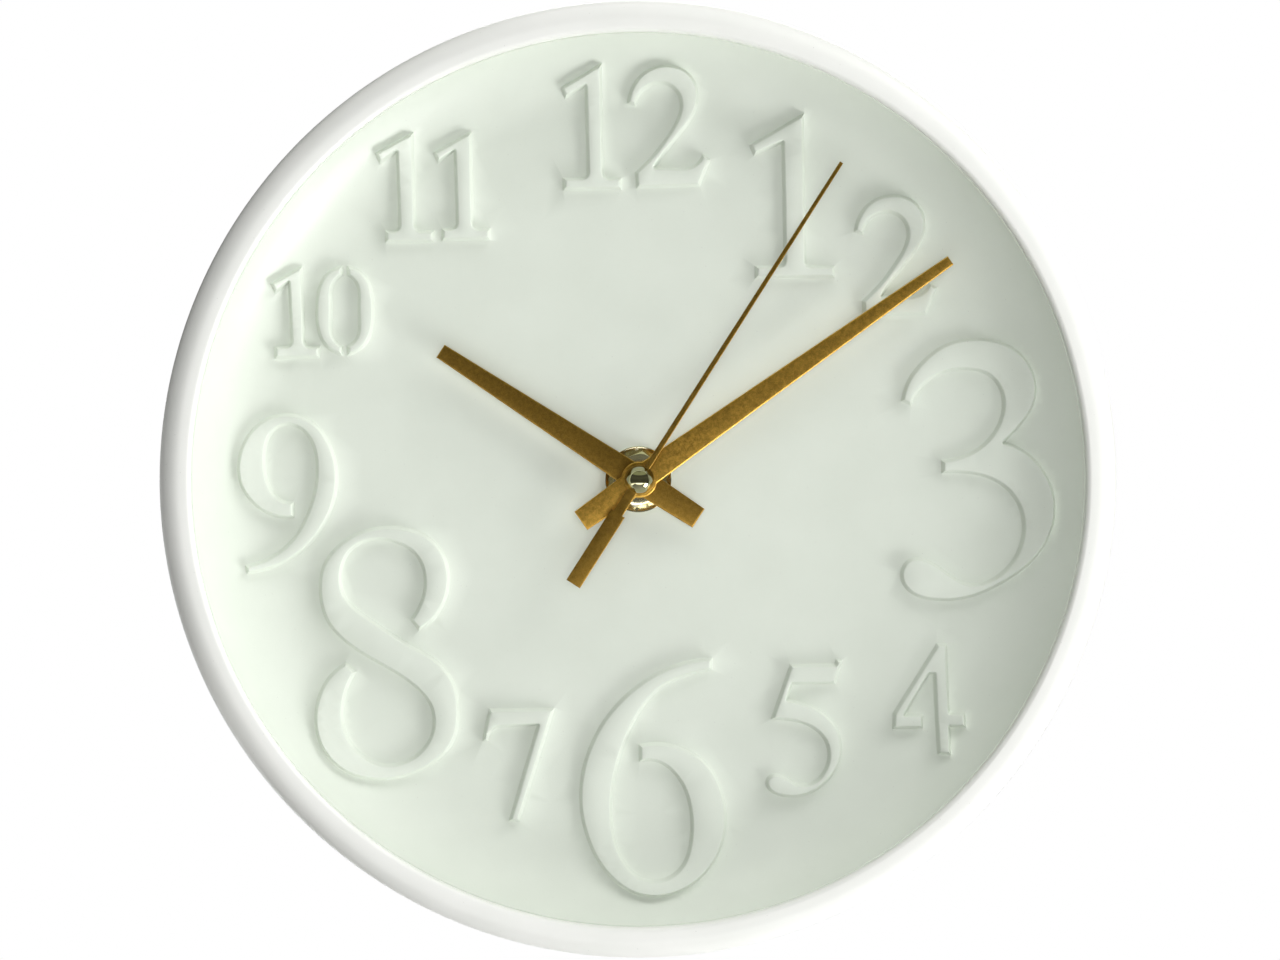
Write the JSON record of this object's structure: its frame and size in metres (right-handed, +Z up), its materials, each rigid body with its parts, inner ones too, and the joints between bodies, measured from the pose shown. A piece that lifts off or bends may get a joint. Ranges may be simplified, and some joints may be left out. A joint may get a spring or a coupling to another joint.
{
  "type": "wall clock",
  "caption": "Round off-white wall clock with a dished dial, raised stencil numbers of different sizes and gold hands, with its quartz movement and battery.",
  "frame": {"origin": "on the axis of the hands, in the plane of the wall, which the back edge of the case ring touches", "axes": "+Z up (12 o'clock), the front faces -Y, +X to the right as seen from the front; the hands turn clockwise about +Y by the right-hand rule"},
  "size_m": [0.25, 0.037, 0.25],
  "materials": {
    "case_plastic": "off-white moulded plastic, satin",
    "dial_plastic": "off-white moulded plastic with a faint green tint, satin",
    "brass": "polished brass",
    "rubber": "black rubber",
    "housing_plastic": "black moulded plastic",
    "plate_plastic": "dark grey moulded plastic",
    "steel_sheet": "rolled magnetic steel sheet",
    "bobbin_plastic": "natural nylon",
    "copper_wire": "enamelled copper wire",
    "board": "green laminate",
    "resin": "black epoxy resin",
    "crystal_can": "drawn metal can",
    "contact_spring": "nickel-plated spring steel",
    "battery_jacket": "plain printed jacket over a metal can",
    "battery_steel": "nickel-plated steel",
    "gear_plastic": "natural acetal",
    "magnet": "sintered magnet",
    "knob_plastic": "light grey moulded plastic",
    "gold_aluminium": "brushed, gold anodised",
    "polished_gold": "polished, gold plated"
  },
  "bodies": {
    "case": {"case_ring": "case_plastic", "dial": "dial_plastic", "brass_washer": "brass", "hex_nut": "brass", "rubber_washer": "rubber", "movement_front_shell": "housing_plastic", "movement_back_cover": "housing_plastic", "train_plate": "plate_plastic", "stator": "steel_sheet", "coil_core": "steel_sheet", "coil_bobbin": "bobbin_plastic", "coil_winding": "copper_wire", "circuit_board": "board", "timing_chip": "resin", "quartz_crystal": "crystal_can", "battery_contact_plus": "contact_spring", "battery_contact_minus": "contact_spring"},
    "rotor": {"rotor_pinion": "gear_plastic", "rotor_magnet": "magnet"},
    "intermediate": {"intermediate_wheel": "gear_plastic"},
    "seconds": {"seconds_wheel": "gear_plastic", "second_hand": "gold_aluminium", "second_hand_socket": "brass", "second_hand_cap": "polished_gold"},
    "third": {"third_wheel": "gear_plastic"},
    "minutes": {"centre_wheel": "gear_plastic", "cannon_pinion": "gear_plastic", "minute_hand": "gold_aluminium"},
    "setting": {"minute_wheel": "gear_plastic", "setting_knob": "knob_plastic"},
    "hours": {"hour_wheel": "gear_plastic", "hour_hand": "gold_aluminium", "hour_hand_collar": "gold_aluminium"},
    "battery": {"battery_case": "battery_jacket", "battery_cap": "battery_steel"}
  },
  "joints": [
    {"name": "seconds_turn", "type": "hinge", "parent": "case", "child": "seconds", "pos_m": [0, -0.0062, 0], "axis": [0, 1, 0], "continuous": true},
    {"name": "rotor_turn", "type": "hinge", "parent": "case", "child": "rotor", "pos_m": [-0.01691, -0.0062, 0.00041], "axis": [0, 1, 0], "continuous": true},
    {"name": "intermediate_turn", "type": "hinge", "parent": "case", "child": "intermediate", "pos_m": [-0.00902, -0.0062, 0.00328], "axis": [0, 1, 0], "continuous": true},
    {"name": "third_turn", "type": "hinge", "parent": "case", "child": "third", "pos_m": [0.00298, -0.0097, 0.01113], "axis": [0, 1, 0], "continuous": true},
    {"name": "minutes_turn", "type": "hinge", "parent": "case", "child": "minutes", "pos_m": [0, -0.0113, 0], "axis": [0, 1, 0], "continuous": true},
    {"name": "setting_turn", "type": "hinge", "parent": "case", "child": "setting", "pos_m": [0.012, -0.0131, 0], "axis": [0, 1, 0], "continuous": true},
    {"name": "hours_turn", "type": "hinge", "parent": "case", "child": "hours", "pos_m": [0, -0.0149, 0], "axis": [0, 1, 0], "continuous": true},
    {"name": "battery_slide", "type": "slide", "parent": "case", "child": "battery", "axis": [0, 1, 0], "range_m": [0, 0.03]}
  ],
  "couplings": [
    {"joint": "rotor_turn", "follows": "seconds_turn", "ratio": 30},
    {"joint": "intermediate_turn", "follows": "seconds_turn", "ratio": -5},
    {"joint": "third_turn", "follows": "seconds_turn", "ratio": -0.13333},
    {"joint": "minutes_turn", "follows": "seconds_turn", "ratio": 0.016667},
    {"joint": "setting_turn", "follows": "seconds_turn", "ratio": -0.0055556},
    {"joint": "hours_turn", "follows": "seconds_turn", "ratio": 0.0013889}
  ]
}
